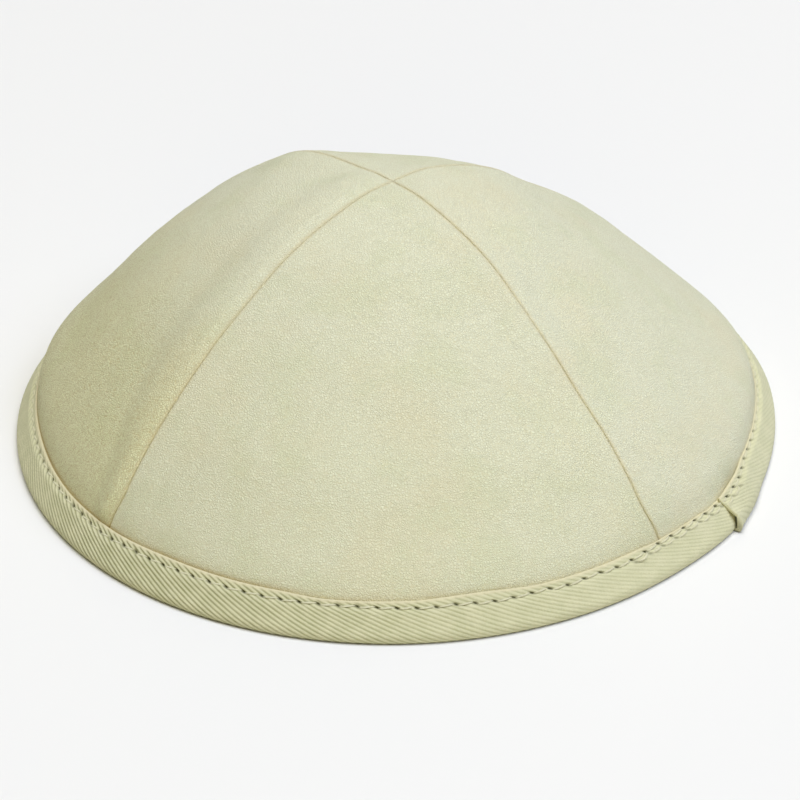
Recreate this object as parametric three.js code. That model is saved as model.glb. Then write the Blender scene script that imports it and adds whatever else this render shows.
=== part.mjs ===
// A skullcap sewn from four panels of faux suede, its rim bound with a folded twill tape.
// Millimetres, +Z up. The origin is the middle of the rim, on the surface that the cap rests on.
// The front of the cap faces -Y. An azimuth runs from the front towards +X, and the seams lie
// halfway between the front, right, back and left.
import * as THREE from 'three';
import { LoftGeometry } from 'three/addons/geometries/LoftGeometry.js';
import { mergeVertices } from 'three/addons/utils/BufferGeometryUtils.js';

// Sizes of the whole cap, over the outside of the cloth.
const RIM_RADIUS = 90;
const CAP_HEIGHT = 63.9;

// Panels, and their seam allowances, which are turned in and pressed flat on the inside. Each
// allowance is at most a share of half the panel's width, and its step at most a share of that.
const PANEL_THICKNESS = 1.2;
const SEAM_GAP = 0.3;
const ALLOWANCE_WIDTH = 6;
const ALLOWANCE_THICKNESS = 1;
const ALLOWANCE_STEP = 0.8;
const ALLOWANCE_MOST = 0.6;
const ALLOWANCE_STEP_MOST = 0.25;

// Rim tape. Its two legs are measured up the wall from the middle of its fold.
const TAPE_THICKNESS = 1;
const TAPE_CLEARANCE = 0.3;
const TAPE_OUTSIDE = 7;
const TAPE_INSIDE = 7;
const FOLD_FLATTENING = 0.5;

// The tape's ends meet at the right of the front, the rear end on top. The lap is thick, so the
// rim bulges there, and the upper edges of the two ends miss each other.
const LAP_AZIMUTH = THREE.MathUtils.degToRad(60.3);
const LAP_LENGTH = 9;
const LAP_RAMP_BELOW = 5;
const LAP_RAMP_ABOVE = 12;
const LAP_MISMATCH = 0.5;
const LAP_MISMATCH_LENGTH = 16;
const LAP_BULGE = 0.9;
const LAP_BULGE_LENGTH = 14;
const LAP_BULGE_HEIGHT = 24;

// Fineness of the meshes.
const PANEL_ROWS = 20;
const PANEL_COLUMNS = 12;
const TAPE_STEPS_PER_TURN = 96;
const TAPE_STEPS_IN_LAP = 3;
const FOLD_FACETS = 5;
const CURVE_DIVISIONS = 200;

// The fold's middle circle, which the cloth's middle runs down to.
const FOLD_OUTER = PANEL_THICKNESS / 2 + TAPE_CLEARANCE + TAPE_THICKNESS;
const FOLD_RADIUS = RIM_RADIUS - FOLD_OUTER;
const FOLD_HEIGHT = FOLD_OUTER - FOLD_FLATTENING;
const CROWN_DEPTH = CAP_HEIGHT - PANEL_THICKNESS / 2 - FOLD_HEIGHT;

// The cloth's middle on the seams, from the crown down to the fold. out is a share of the fold's
// radius and up a share of the crown's depth. The other columns say how far each seam is raised or
// sunk from the front left one, as shares of the crown's depth.
const PROFILE = [
  { out: 0, up: 1, frontRight: 0, backRight: 0, backLeft: 0 },
  { out: 0.062, up: 0.998, frontRight: 0, backRight: 0, backLeft: 0 },
  { out: 0.127, up: 0.984, frontRight: 0, backRight: 0, backLeft: 0 },
  { out: 0.249, up: 0.937, frontRight: 0, backRight: -0.005, backLeft: 0.03 },
  { out: 0.368, up: 0.868, frontRight: -0.003, backRight: -0.013, backLeft: 0.052 },
  { out: 0.482, up: 0.772, frontRight: -0.015, backRight: -0.028, backLeft: 0.048 },
  { out: 0.592, up: 0.666, frontRight: -0.025, backRight: -0.025, backLeft: 0.045 },
  { out: 0.694, up: 0.549, frontRight: -0.034, backRight: -0.016, backLeft: 0.045 },
  { out: 0.787, up: 0.426, frontRight: -0.02, backRight: -0.02, backLeft: 0.033 },
  { out: 0.869, up: 0.289, frontRight: -0.007, backRight: -0.019, backLeft: 0.024 },
  { out: 0.924, up: 0.171, frontRight: 0.003, backRight: -0.012, backLeft: 0.013 },
  { out: 0.952, up: 0.093, frontRight: 0, backRight: 0, backLeft: 0 },
  { out: 1, up: 0, frontRight: 0, backRight: 0, backLeft: 0 },
];

// Each panel's flatness at the same rows: the share of the way from its round form to a flat one
// between its seams.
const FLATNESS = [
  { front: 0.5, right: 0.3, back: 0.9, left: 0.3 },
  { front: 0.5, right: 0.3, back: 0.9, left: 0.3 },
  { front: 0.5, right: 0.3, back: 0.9, left: 0.3 },
  { front: 0.4, right: 0.2, back: 0.85, left: 0.2 },
  { front: 0.3, right: 0.15, back: 0.69, left: 0.1 },
  { front: 0.22, right: 0.15, back: 0.4, left: 0.02 },
  { front: 0.18, right: 0.15, back: 0.18, left: 0.02 },
  { front: 0.15, right: 0.15, back: 0.03, left: 0.03 },
  { front: 0.12, right: 0.12, back: 0.07, left: 0.03 },
  { front: 0.1, right: 0.05, back: 0.1, left: 0.02 },
  { front: 0.04, right: 0, back: 0.05, left: 0 },
  { front: 0, right: 0, back: 0, left: 0 },
  { front: 0, right: 0, back: 0, left: 0 },
];

// Soft hollows in the panels. down is a share of the seam line, from the crown, across a share
// of the panel from its first seam, and depth a share of the crown's depth.
const DENTS = [
  { panel: 'left', down: 0.6, across: 0.79, depth: 0.024, reachDown: 0.2, reachAcross: 0.1 },
  { panel: 'right', down: 0.4, across: 0.14, depth: 0.014, reachDown: 0.09, reachAcross: 0.12 },
  { panel: 'front', down: 0.72, across: 0.62, depth: 0.01, reachDown: 0.14, reachAcross: 0.16 },
];

// Each panel runs from its first seam to its second, in the sense that azimuths grow.
const PANELS = [
  { name: 'front', middle: 0, first: 'frontLeft', second: 'frontRight' },
  { name: 'right', middle: Math.PI / 2, first: 'frontRight', second: 'backRight' },
  { name: 'back', middle: Math.PI, first: 'backRight', second: 'backLeft' },
  { name: 'left', middle: -Math.PI / 2, first: 'backLeft', second: 'frontLeft' },
];
const PANEL_ANGLE = 2 * Math.PI / PANELS.length;

const SUEDE = { color: 0xdcd3b0, roughness: 0.95, metalness: 0 };
const TWILL = { color: 0xd2cba6, roughness: 0.9, metalness: 0 };

// The cloth's middle on a seam, as radius and height, by the share of its length.
const seamLine = new THREE.SplineCurve(PROFILE.map(
  (row) => new THREE.Vector2(row.out * FOLD_RADIUS, FOLD_HEIGHT + row.up * CROWN_DEPTH),
));
seamLine.arcLengthDivisions = CURVE_DIVISIONS;
const SEAM_LENGTH = seamLine.getLength();

// A smooth curve through each column of the two tables.
const columns = new Map();
for (const table of [PROFILE, FLATNESS]) {
  for (const name of Object.keys(table[0])) {
    columns.set(name, new THREE.SplineCurve(table.map((row, k) => new THREE.Vector2(k, row[name]))));
  }
}

// The front left seam has no column, because the others are raised or sunk from it.
function columnAt(name, t) {
  return columns.has(name) ? columns.get(name).getPoint(t).y : 0;
}

// A point of a radius and a height in space, moved out with the rim's bulge at the lap.
function spatial(point, azimuth) {
  const around = Math.atan2(Math.sin(azimuth - LAP_AZIMUTH), Math.cos(azimuth - LAP_AZIMUTH));
  const aside = around * RIM_RADIUS / LAP_BULGE_LENGTH;
  const fade = 1 - THREE.MathUtils.smoothstep(point.y, 0, LAP_BULGE_HEIGHT);
  const radius = point.x + LAP_BULGE * fade * Math.exp(-aside * aside);
  return new THREE.Vector3(radius * Math.sin(azimuth), -radius * Math.cos(azimuth), point.y);
}

// Moves a point of a line of radius and height out of the cloth, square to the line.
function offset(line, share, distance) {
  const reach = 1 / CURVE_DIVISIONS;
  const above = line(Math.max(0, share - reach));
  const below = line(Math.min(1, share + reach));
  const along = below.sub(above).normalize();
  const point = line(share);
  return point.add(new THREE.Vector2(-along.y, along.x).multiplyScalar(distance));
}

// A closed body from a loft, with the triangles that a point or a shut edge leaves dropped.
function closedBody(sections, caps) {
  const loft = new LoftGeometry(sections, caps);
  const skin = new THREE.BufferGeometry();
  skin.setIndex(loft.getIndex());
  skin.setAttribute('position', loft.getAttribute('position'));
  const merged = mergeVertices(skin);
  const corners = merged.getIndex().array;
  const kept = [];
  for (let k = 0; k < corners.length; k += 3) {
    const [a, b, c] = corners.slice(k, k + 3);
    if (a !== b && b !== c && c !== a) {
      kept.push(a, b, c);
    }
  }
  merged.setIndex(kept);
  merged.computeVertexNormals();
  return merged;
}

function namedMesh(name, geometry, look) {
  const mesh = new THREE.Mesh(geometry, new THREE.MeshStandardMaterial(look));
  mesh.name = name;
  return mesh;
}

// How far the middle of the fold moves up the wall in the lap, so that a second layer of tape fits
// below it, and where the panels stop above that.
const LAYER = TAPE_THICKNESS + TAPE_CLEARANCE;
const LAP_RISE = LAYER / Math.abs(seamLine.getTangent(1).y);
const PANEL_SETBACK = LAP_RISE + TAPE_CLEARANCE;

function dentDepth(panel, down, across) {
  let depth = 0;
  for (const dent of DENTS) {
    if (dent.panel === panel.name) {
      const below = (down - dent.down) / dent.reachDown;
      const beside = (across - dent.across) / dent.reachAcross;
      depth += dent.depth * CROWN_DEPTH * Math.exp(-below * below - beside * beside);
    }
  }
  return depth;
}

// The cloth's middle in a panel, on the upright plane at an angle from the panel's middle.
function panelLine(panel, angle) {
  const across = 0.5 + angle / PANEL_ANGLE;
  const bulge = 1 - Math.cos(PANEL_ANGLE / 2) / Math.cos(angle);
  return (share) => {
    const t = seamLine.getUtoTmapping(share);
    const point = seamLine.getPoint(t);
    const lift = THREE.MathUtils.lerp(columnAt(panel.first, t), columnAt(panel.second, t), across);
    const flatness = columnAt(panel.name, t);
    return new THREE.Vector2(point.x * (1 - flatness * bulge), point.y + lift * CROWN_DEPTH);
  };
}

// Rows down a panel, by their distance up the wall from the fold, with two where the
// allowances stop above the tape.
function panelRows() {
  const allowanceEnd = TAPE_INSIDE + TAPE_CLEARANCE;
  const rows = [];
  for (let i = 0; i <= PANEL_ROWS; i += 1) {
    const up = THREE.MathUtils.lerp(SEAM_LENGTH, allowanceEnd + ALLOWANCE_STEP, i / PANEL_ROWS);
    rows.push({ up, thick: true });
  }
  rows.push({ up: allowanceEnd, thick: false });
  rows.push({ up: (allowanceEnd + PANEL_SETBACK) / 2, thick: false });
  rows.push({ up: PANEL_SETBACK, thick: false });
  return rows;
}

// Angles across a panel at a radius: the cut edges, both sides of each allowance's inner edge,
// and even steps between them. Near the crown the allowances narrow with the panel.
function panelAngles(radius) {
  const half = PANEL_ANGLE / 2;
  const fromSeam = (distance) => half - Math.asin(Math.min(Math.sin(half), distance / radius));
  const edge = fromSeam(SEAM_GAP / 2);
  const crowded = ALLOWANCE_MOST * radius * Math.sin(half);
  const inner = Math.min(ALLOWANCE_WIDTH, crowded);
  const step = Math.min(ALLOWANCE_STEP, crowded * ALLOWANCE_STEP_MOST);
  const outside = fromSeam(Math.max(SEAM_GAP / 2, inner - step));
  const inside = fromSeam(Math.max(SEAM_GAP / 2, inner));
  const angles = [{ angle: -edge, thick: true }, { angle: -outside, thick: true }];
  for (let j = 0; j <= PANEL_COLUMNS; j += 1) {
    angles.push({ angle: THREE.MathUtils.lerp(-inside, inside, j / PANEL_COLUMNS), thick: false });
  }
  angles.push({ angle: outside, thick: true }, { angle: edge, thick: true });
  return angles;
}

function panelMesh(panel) {
  const tipRadius = SEAM_GAP / 2 / Math.sin(PANEL_ANGLE / 2);
  const sections = panelRows().map((row) => {
    const share = 1 - row.up / SEAM_LENGTH;
    const radius = Math.max(tipRadius, seamLine.getPointAt(share).x);
    const face = [];
    const back = [];
    for (const column of panelAngles(radius)) {
      const line = panelLine(panel, column.angle);
      const dent = dentDepth(panel, share, 0.5 + column.angle / PANEL_ANGLE);
      const doubled = row.thick && (column.thick || radius === tipRadius);
      const inward = PANEL_THICKNESS / 2 + (doubled ? ALLOWANCE_THICKNESS : 0);
      const outer = offset(line, share, PANEL_THICKNESS / 2 - dent);
      const inner = offset(line, share, -inward - dent);
      outer.x = Math.max(tipRadius, outer.x);
      inner.x = Math.max(tipRadius, inner.x);
      face.push(spatial(outer, panel.middle + column.angle));
      back.push(spatial(inner, panel.middle + column.angle));
    }
    return [...face.reverse(), ...back];
  });
  return namedMesh(`panel_${panel.name}`, closedBody(sections, { capEnd: true }), SUEDE);
}

// One cross-section of the tape: a ring along the side that faces the panels, from its outer leg
// to its inner one, and back round the outside. spare is room for another layer inside the fold,
// and floor the height that the fold is flattened against.
function tapeSection(azimuth, { spare, rise, floor, narrowing }) {
  const near = PANEL_THICKNESS / 2 + TAPE_CLEARANCE + spare;
  const far = near + TAPE_THICKNESS;
  const wall = (share) => seamLine.getPointAt(share);
  const onWall = (up, distance) => offset(wall, 1 - up / SEAM_LENGTH, distance);
  const middle = onWall(rise, 0);
  const square = onWall(rise, 1).sub(middle);
  const lean = Math.atan2(square.y, square.x);
  const flat = Math.asin((middle.y - floor) / far);
  const round = (radius, angle, lowest) => new THREE.Vector2(
    middle.x + radius * Math.cos(angle),
    Math.max(lowest, middle.y + radius * Math.sin(angle)),
  );
  const outsideTop = TAPE_OUTSIDE - narrowing;
  const outsideHalf = (outsideTop + rise) / 2;
  const insideHalf = (TAPE_INSIDE + rise) / 2;
  const turns = Array.from({ length: FOLD_FACETS + 1 }, (_, k) => Math.PI * k / FOLD_FACETS);
  const foldInside = turns.map((turn) => lean - turn);
  const foldOutside = [lean - Math.PI, flat - Math.PI, -flat, -flat / 2, 0, lean];
  const ring = [
    onWall(outsideTop, near),
    onWall(outsideHalf, near),
    ...foldInside.map((angle) => round(near, angle, floor + TAPE_THICKNESS)),
    onWall(insideHalf, -near),
    onWall(TAPE_INSIDE, -near),
    onWall(TAPE_INSIDE, -far),
    onWall(insideHalf, -far),
    ...foldOutside.map((angle) => round(far, angle, floor)),
    onWall(outsideHalf, far),
    onWall(outsideTop, far),
  ];
  return ring.map((point) => spatial(point, azimuth));
}

// Azimuths along the tape, from its hidden end backwards round the cap to its upper end.
function tapeAzimuths() {
  const start = LAP_AZIMUTH + LAP_LENGTH / RIM_RADIUS;
  const end = LAP_AZIMUTH - 2 * Math.PI;
  const step = 2 * Math.PI / TAPE_STEPS_PER_TURN / TAPE_STEPS_IN_LAP;
  const fine = (LAP_RAMP_ABOVE + LAP_RAMP_BELOW + LAP_LENGTH) / RIM_RADIUS;
  const shortest = step / TAPE_STEPS_IN_LAP;
  const azimuths = [start];
  for (let k = Math.floor(start / step); k * step > end; k -= 1) {
    const azimuth = k * step;
    const inLap = start - azimuth < fine || azimuth - end < fine;
    const clearOfEnds = start - azimuth > shortest && azimuth - end > shortest;
    if (clearOfEnds && (inLap || k % TAPE_STEPS_IN_LAP === 0)) {
      azimuths.push(azimuth);
    }
  }
  azimuths.push(end);
  return azimuths;
}

function tapeMesh() {
  const { smoothstep } = THREE.MathUtils;
  const angleOf = (length) => length / RIM_RADIUS;
  const covered = LAP_AZIMUTH - 2 * Math.PI + angleOf(LAP_LENGTH);
  const sections = tapeAzimuths().map((azimuth) => {
    const below = smoothstep(azimuth, LAP_AZIMUTH - angleOf(LAP_RAMP_BELOW), LAP_AZIMUTH);
    const above = 1 - smoothstep(azimuth, covered, covered + angleOf(LAP_RAMP_ABOVE));
    const lowered = smoothstep(azimuth, LAP_AZIMUTH - angleOf(LAP_MISMATCH_LENGTH), LAP_AZIMUTH);
    return tapeSection(azimuth, {
      spare: LAYER * above,
      rise: LAP_RISE * (below + above),
      floor: LAYER * below,
      narrowing: LAP_MISMATCH * (lowered - above),
    });
  });
  return namedMesh('rim_tape', closedBody(sections, { capStart: true, capEnd: true }), TWILL);
}

const skullcap = new THREE.Group();
for (const panel of PANELS) {
  skullcap.add(panelMesh(panel));
}
skullcap.add(tapeMesh());

export default skullcap;
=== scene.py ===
"""The looks of a four-panel faux-suede skullcap with a topstitched twill rim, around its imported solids.

Lengths are metres, +Z up. The origin is the middle of the rim, on the surface that the cap rests on.
The front faces -Y. An azimuth runs from the front towards +X, and the seams lie between the panels.
"""
import math

import bmesh
import bpy
import numpy as np
from bpy.props import FloatProperty, FloatVectorProperty, IntProperty, PointerProperty
from mathutils import Matrix, Vector, noise


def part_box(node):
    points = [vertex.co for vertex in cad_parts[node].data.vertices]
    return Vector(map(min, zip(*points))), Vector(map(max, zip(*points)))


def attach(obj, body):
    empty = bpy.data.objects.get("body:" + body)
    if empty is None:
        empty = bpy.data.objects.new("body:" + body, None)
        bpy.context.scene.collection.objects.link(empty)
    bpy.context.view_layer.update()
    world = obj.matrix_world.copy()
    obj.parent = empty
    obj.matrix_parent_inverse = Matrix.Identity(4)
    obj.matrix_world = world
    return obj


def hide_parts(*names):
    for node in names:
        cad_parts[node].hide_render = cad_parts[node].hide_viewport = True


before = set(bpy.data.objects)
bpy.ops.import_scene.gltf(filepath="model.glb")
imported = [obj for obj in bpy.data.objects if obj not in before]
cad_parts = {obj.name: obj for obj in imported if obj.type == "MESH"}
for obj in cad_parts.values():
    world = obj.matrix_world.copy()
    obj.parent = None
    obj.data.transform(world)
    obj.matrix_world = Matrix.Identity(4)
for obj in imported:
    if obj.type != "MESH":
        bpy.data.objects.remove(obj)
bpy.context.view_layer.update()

bl_info = {
    "name": "Suede Skullcap",
    "version": (1, 0, 0),
    "blender": (4, 5, 0),
    "location": "3D View > Sidebar > Skullcap",
    "description": "Dresses the solids of a four-panel skullcap in faux suede, twill tape and thread",
    "category": "Object",
}

MM = 0.001
FULL_TURN = 2 * math.pi
MERGE_DISTANCE = 0.002 * MM
NEARLY_NOTHING = 1e-9

# The cloth's middle on the seams, from the crown down to the fold in the rim tape. out is a share
# of the fold's radius and up a share of the crown's depth. The next three columns say how far each
# seam is raised or sunk from the front left one, as shares of the crown's depth, and the last four
# how flat each panel is between its seams.
PROFILE_COLUMNS = (
    "out", "up", "front_right", "back_right", "back_left", "front", "right", "back", "left",
)
PROFILE = np.array([
    (0.000, 1.000, 0.000, 0.000, 0.000, 0.50, 0.30, 0.90, 0.30),
    (0.062, 0.998, 0.000, 0.000, 0.000, 0.50, 0.30, 0.90, 0.30),
    (0.127, 0.984, 0.000, 0.000, 0.000, 0.50, 0.30, 0.90, 0.30),
    (0.249, 0.937, 0.000, -0.005, 0.030, 0.40, 0.20, 0.85, 0.20),
    (0.368, 0.868, -0.003, -0.013, 0.052, 0.30, 0.15, 0.69, 0.10),
    (0.482, 0.772, -0.015, -0.028, 0.048, 0.22, 0.15, 0.40, 0.02),
    (0.592, 0.666, -0.025, -0.025, 0.045, 0.18, 0.15, 0.18, 0.02),
    (0.694, 0.549, -0.034, -0.016, 0.045, 0.15, 0.15, 0.03, 0.03),
    (0.787, 0.426, -0.020, -0.020, 0.033, 0.12, 0.12, 0.07, 0.03),
    (0.869, 0.289, -0.007, -0.019, 0.024, 0.10, 0.05, 0.10, 0.02),
    (0.924, 0.171, 0.003, -0.012, 0.013, 0.04, 0.00, 0.05, 0.00),
    (0.952, 0.093, 0.000, 0.000, 0.000, 0.00, 0.00, 0.00, 0.00),
    (1.000, 0.000, 0.000, 0.000, 0.000, 0.00, 0.00, 0.00, 0.00),
])

# Soft hollows in the panels, and bulges where the depth is negative: how far down the seam line and
# across the panel, how deep as a share of the crown's depth, and how far each reaches.
DENT_COLUMNS = ("panel", "down", "across", "depth", "reach_down", "reach_across")
DENTS = (
    ("left", 0.62, 0.74, 0.024, 0.22, 0.13),
    ("left", 0.88, 0.42, -0.016, 0.07, 0.28),
    ("right", 0.88, 0.58, -0.016, 0.07, 0.28),
    ("right", 0.40, 0.14, 0.014, 0.09, 0.12),
    ("front", 0.72, 0.62, 0.010, 0.14, 0.16),
    ("back", 0.28, 0.26, -0.011, 0.12, 0.20),
    ("back", 0.55, 1.00, -0.006, 0.20, 0.20),
    ("left", 0.55, 0.00, -0.006, 0.20, 0.20),
)

# Each panel with the azimuth of its middle and the seams on its two sides.
PANEL_COLUMNS = ("name", "middle", "first", "second")
PANELS = (
    ("front", 0.0, "front_left", "front_right"),
    ("right", math.pi / 2, "front_right", "back_right"),
    ("back", math.pi, "back_right", "back_left"),
    ("left", -math.pi / 2, "back_left", "front_left"),
)
PANEL_ANGLE = FULL_TURN / len(PANELS)
HALF_PANEL = PANEL_ANGLE / 2
CURVE_DIVISIONS = 200

# The lap of the tape's two ends, at the right of the front, the rear end on top. The table flattens
# the upper end's fold, so that it rises only by a share.
LAP_AZIMUTH = math.radians(60.3)
LAP_RAMP_BELOW = 2 * MM
LAP_RAMP_ABOVE = 12 * MM
UPPER_RISE = 0.5

# Where the cap swells: azimuth and reach in degrees, how far out, the share of it at the rim, and
# between which heights it fades, in millimetres. The first is at the lap, the others at the sides.
SWELL_COLUMNS = ("azimuth", "reach", "amount", "foot", "full", "top")
SWELLS = (
    (60.3, 8.9, 0.9, 1.0, 0.0, 24.0),
    (109.0, 20.0, 2.2, 0.8, 14.0, 42.0),
    (-100.0, 16.0, 1.5, 0.3, 12.0, 26.0),
)
FOOT_LOW = 3 * MM
FOOT_HIGH = 10 * MM


def length(name, description, millimetres):
    """A size that a user may change, shown in the scene's unit of length."""
    return FloatProperty(
        name=name, description=description, default=millimetres * MM, unit="LENGTH", precision=5,
    )


def colour(name, description, value):
    """A surface's colour that a user may change."""
    return FloatVectorProperty(
        name=name, description=description, default=value, subtype="COLOR", size=3, min=0.0, max=1.0,
    )


class CapSizes(bpy.types.PropertyGroup):
    """Sizes of the cap's cloth and its seams."""

    rim_radius: length("Rim radius", "Radius of the rim, over the tape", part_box("rim_tape")[1].y / MM)
    cap_height: length("Cap height", "Height of the crown above the table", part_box("panel_front")[1].z / MM)
    panel_thickness: length("Panel thickness", "Thickness of the faux suede", 1.2)
    allowance_width: length("Allowance width", "Width of the cloth turned in at a seam", 6.0)
    allowance_thickness: length("Allowance thickness", "Thickness of the cloth turned in at a seam", 1.0)
    seam_roll: length("Seam roll", "How far from a seam the cloth starts to turn down", 0.5)
    seam_depth: length("Seam depth", "Depth of the groove at a seam", 0.55)
    seam_gap: length("Seam gap", "Gap between two panels at the bottom of a seam's groove", 0.04)
    ridge_height: length("Ridge height", "How far a turned allowance raises the cloth above it", 0.3)
    sag_height: length("Sag height", "Height of the cloth's broad unevenness", 0.3)
    crease_height: length("Crease height", "Height of the cloth's fine unevenness", 0.07)


class TapeSizes(bpy.types.PropertyGroup):
    """Sizes of the rim tape, its twill and its stitches."""

    thickness: length("Thickness", "Thickness of the tape", 1.0)
    clearance: length("Clearance", "Gap between the tape and the panels", 0.3)
    outside: length("Outside leg", "Length of the outer leg above the middle of the fold", 7.0)
    inside: length("Inside leg", "Length of the inner leg above the middle of the fold", 7.0)
    fold_flattening: length("Fold flattening", "How far the table flattens the fold", 0.5)
    lap_length: length("Lap length", "Length of the tape's hidden end", 9.0)
    rib_spacing: length("Rib spacing", "Distance between two twill ribs, square to them", 0.894)
    rib_height: length("Rib height", "Height of a twill rib", 0.2)
    rib_angle: FloatProperty(
        name="Rib angle", description="Angle between the ribs and the rim",
        default=math.radians(23.5), subtype="ANGLE",
    )
    edge_thickness: length("Edge thickness", "Thickness of the tape at its pressed edge", 0.8)
    stitch_inset: length("Stitch inset", "Distance of the stitches below the tape's edge", 1.35)
    stitch_pull: length("Stitch pull", "How far the stitches pull the tape in", 0.25)
    thread_width: length("Thread width", "Width of the topstitching thread", 0.42)
    hole_length: length("Hole length", "Length of a needle hole", 1.4)
    hole_width: length("Hole width", "Width of a needle hole", 0.6)
    hole_depth: length("Hole depth", "Depth of a needle hole", 0.5)
    stitch_count: IntProperty(name="Stitches", description="Stitches in one turn of the rim", default=133)


class CapColours(bpy.types.PropertyGroup):
    """Colours of the cloth, the tape, the thread and the table."""

    suede_light: colour("Suede, light", "The suede where it is palest", (0.805, 0.815, 0.61))
    suede_tan: colour("Suede, tan", "The suede where it is rubbed tan", (0.81, 0.775, 0.545))
    suede_green: colour("Suede, green", "The suede where it is greenish", (0.745, 0.775, 0.54))
    suede_back: colour("Suede, back", "The back of the cloth, inside the cap", (0.62, 0.60, 0.46))
    seam_tint: colour("Seam tint", "The suede where it turns into a seam", (0.70, 0.60, 0.36))
    # Painted shade on the lower left of the cap, where the light falls weakly.
    suede_shadowed: colour("Suede, worn", "The suede where it is worn, low on the left", (0.76, 0.765, 0.33))
    # Painted shade where the suede meets the tape; the same colour paints the shade in the pebble grooves and
    # the fine mottle.
    hem_shade: colour("Hem shade", "The suede where it meets the tape", (0.42, 0.30, 0.10))
    twill_light: colour("Twill, light", "The tape on its ribs", (0.64, 0.635, 0.41))
    # Painted shade between the tape's ribs and along the thread's twist.
    painted_groove_shade: colour("Twill, dark", "The tape between its ribs", (0.355, 0.355, 0.18))
    # Painted highlight on the tape's rolled upper edge.
    twill_edge_highlight: colour("Twill, edge", "The tape's rolled upper edge", (0.70, 0.635, 0.42))
    thread: colour("Thread", "The topstitching thread", (0.71, 0.69, 0.48))
    # Painted shade in the needle holes and a painted contact shadow where the tape meets the table.
    hole: colour("Needle hole", "The tape in its holes and at the table", (0.07, 0.07, 0.03))
    table: colour("Table", "The floor under the cap", (0.845, 0.845, 0.825))


def smoothstep(value, low, high):
    """0 up to low, 1 from high on, and an even S between them."""
    share = np.clip((value - low) / (high - low), 0.0, 1.0)
    return share * share * (3.0 - 2.0 * share)


def column(name, t):
    """A smooth curve through one column of the profile. The front left seam has none, and stays 0."""
    if name not in PROFILE_COLUMNS:
        return np.zeros_like(t)
    values = PROFILE[:, PROFILE_COLUMNS.index(name)]
    last = len(values) - 1
    place = np.clip(t, 0.0, 1.0) * last
    here = np.minimum(np.floor(place).astype(int), last - 1)
    between = place - here
    before, start = values[np.maximum(here - 1, 0)], values[here]
    end, after = values[here + 1], values[np.minimum(here + 2, last)]
    leaving, arriving = (end - before) / 2, (after - start) / 2
    cubic = 2 * start - 2 * end + leaving + arriving
    square = 3 * end - 3 * start - 2 * leaving - arriving
    return ((cubic * between + square) * between + leaving) * between + start


class CapForm:
    """The cloth's middle surface, worked out as the solids have it."""

    def __init__(self, scene):
        self.cap = scene.skullcap_cap
        self.tape = scene.skullcap_tape
        fold_outer = self.cap.panel_thickness / 2 + self.tape.clearance + self.tape.thickness
        self.fold_radius = self.cap.rim_radius - fold_outer
        self.fold_height = fold_outer - self.tape.fold_flattening
        self.crown_depth = self.cap.cap_height - self.cap.panel_thickness / 2 - self.fold_height
        self.steps = np.linspace(0.0, 1.0, CURVE_DIVISIONS + 1)
        radii = column("out", self.steps) * self.fold_radius
        heights = column("up", self.steps) * self.crown_depth
        pieces = np.hypot(np.diff(radii), np.diff(heights))
        self.lengths = np.concatenate([[0.0], np.cumsum(pieces)])
        self.seam_length = self.lengths[-1]

    def line(self, share, panel=None, angle=0.0):
        """Radius and height of the cloth's middle, on a seam or at an angle across a panel."""
        t = np.interp(share * self.seam_length, self.lengths, self.steps)
        radius = column("out", t) * self.fold_radius
        height = self.fold_height + column("up", t) * self.crown_depth
        if panel is not None:
            across = 0.5 + angle / PANEL_ANGLE
            flat = column(panel["name"], t) * (1 - math.cos(HALF_PANEL) / np.cos(angle))
            first, second = column(panel["first"], t), column(panel["second"], t)
            radius = radius * (1 - flat)
            height = height + (first + (second - first) * across) * self.crown_depth
        return radius, height

    def offset(self, share, distance, panel=None, angle=0.0):
        """A point of the cloth's middle moved out of the cloth, square to its line."""
        reach = 1 / CURVE_DIVISIONS
        radius_above, height_above = self.line(np.maximum(share - reach, 0.0), panel, angle)
        radius_below, height_below = self.line(np.minimum(share + reach, 1.0), panel, angle)
        outwards, downwards = radius_below - radius_above, height_above - height_below
        size = np.hypot(outwards, downwards)
        radius, height = self.line(share, panel, angle)
        return radius + downwards / size * distance, height + outwards / size * distance

    def wall(self, up, distance):
        """A point by its distance up the wall from the fold and its distance out of the cloth."""
        return self.offset(1 - up / self.seam_length, distance)

    def spatial(self, radius, height, azimuth):
        """Points in space, moved out where the cap swells."""
        for values in SWELLS:
            swell = dict(zip(SWELL_COLUMNS, values))
            away = azimuth - math.radians(swell["azimuth"])
            aside = np.degrees(np.arctan2(np.sin(away), np.cos(away))) / swell["reach"]
            foot = swell["foot"] + (1 - swell["foot"]) * smoothstep(height, FOOT_LOW, FOOT_HIGH)
            fade = foot * (1 - smoothstep(height, swell["full"] * MM, swell["top"] * MM))
            radius = radius + swell["amount"] * MM * fade * np.exp(-aside * aside)
        return np.stack([radius * np.sin(azimuth), -radius * np.cos(azimuth), height], axis=-1)


# How the tape's upper edge and its stitches wander: the azimuth in degrees, from the upper end at
# the lap round the back to the hidden end, and how far up the wall the line moves, in millimetres.
EDGE_WANDER = (
    (-300, -0.50), (-294, -0.10), (-280, -0.30), (-262, -0.40), (-235, 0.10), (-200, -0.20),
    (-160, 0.20), (-120, -0.10), (-74, 0.00), (-58, -0.25), (-46, -0.05), (-32, 0.70), (-15, 0.65),
    (-7, 0.15), (4, 0.35), (15, 1.00), (26, 0.20), (41, 0.05), (46, -0.38), (54, -0.55),
    (58.5, -0.95), (70, -0.95),
)
STITCH_WANDER = (
    (-300, -0.40), (-294, -0.20), (-286, 0.45), (-262, 0.10), (-230, -0.10), (-190, 0.15),
    (-150, -0.15), (-110, 0.10), (-60, 0.00), (-52, -0.15), (-46, -0.45), (-39, 0.00),
    (-28, 0.25), (-17, 0.10), (-3, 0.35), (8, 0.00), (11.5, 0.25), (17.5, -0.10), (25, 0.10),
    (28.6, -0.30), (33, 0.05), (38, -0.30), (45, 0.28), (54, 0.30), (58.5, -0.30), (70, -0.30),
)
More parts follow.
